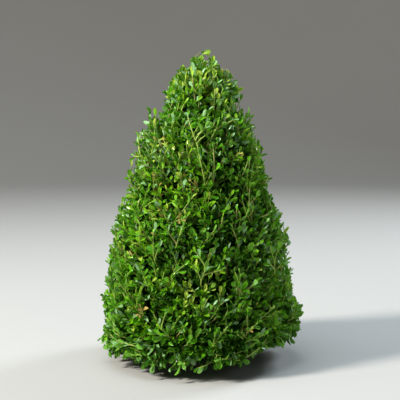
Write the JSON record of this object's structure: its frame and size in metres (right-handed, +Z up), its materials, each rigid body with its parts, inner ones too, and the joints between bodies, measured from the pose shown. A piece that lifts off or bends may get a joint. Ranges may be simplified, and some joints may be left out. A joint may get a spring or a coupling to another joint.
{
  "type": "clipped cone topiary shrub",
  "caption": "Small-leaved evergreen holly clipped to a dense rounded cone on one short hidden trunk, rooted in the ground.",
  "frame": {"origin": "centre of the flat cut under the trunk, at ground level", "axes": "+Z up the trunk, -Y towards the front, +X to the right seen from the front"},
  "size_m": [0.3754, 0.3728, 0.602],
  "materials": {
    "bark": "rough grey-brown bark",
    "foliage": "glossy dark green leaves with yellow-green tips"
  },
  "bodies": {
    "root": {"trunk": "bark", "foliage_skirt_1": "foliage", "foliage_skirt_2": "foliage", "foliage_skirt_3": "foliage", "foliage_skirt_4": "foliage", "foliage_skirt_5": "foliage", "foliage_waist_1": "foliage", "foliage_waist_2": "foliage", "foliage_waist_3": "foliage", "foliage_waist_4": "foliage", "foliage_shoulder_1": "foliage", "foliage_shoulder_2": "foliage", "foliage_shoulder_3": "foliage", "foliage_knob": "foliage"}
  },
  "joints": []
}
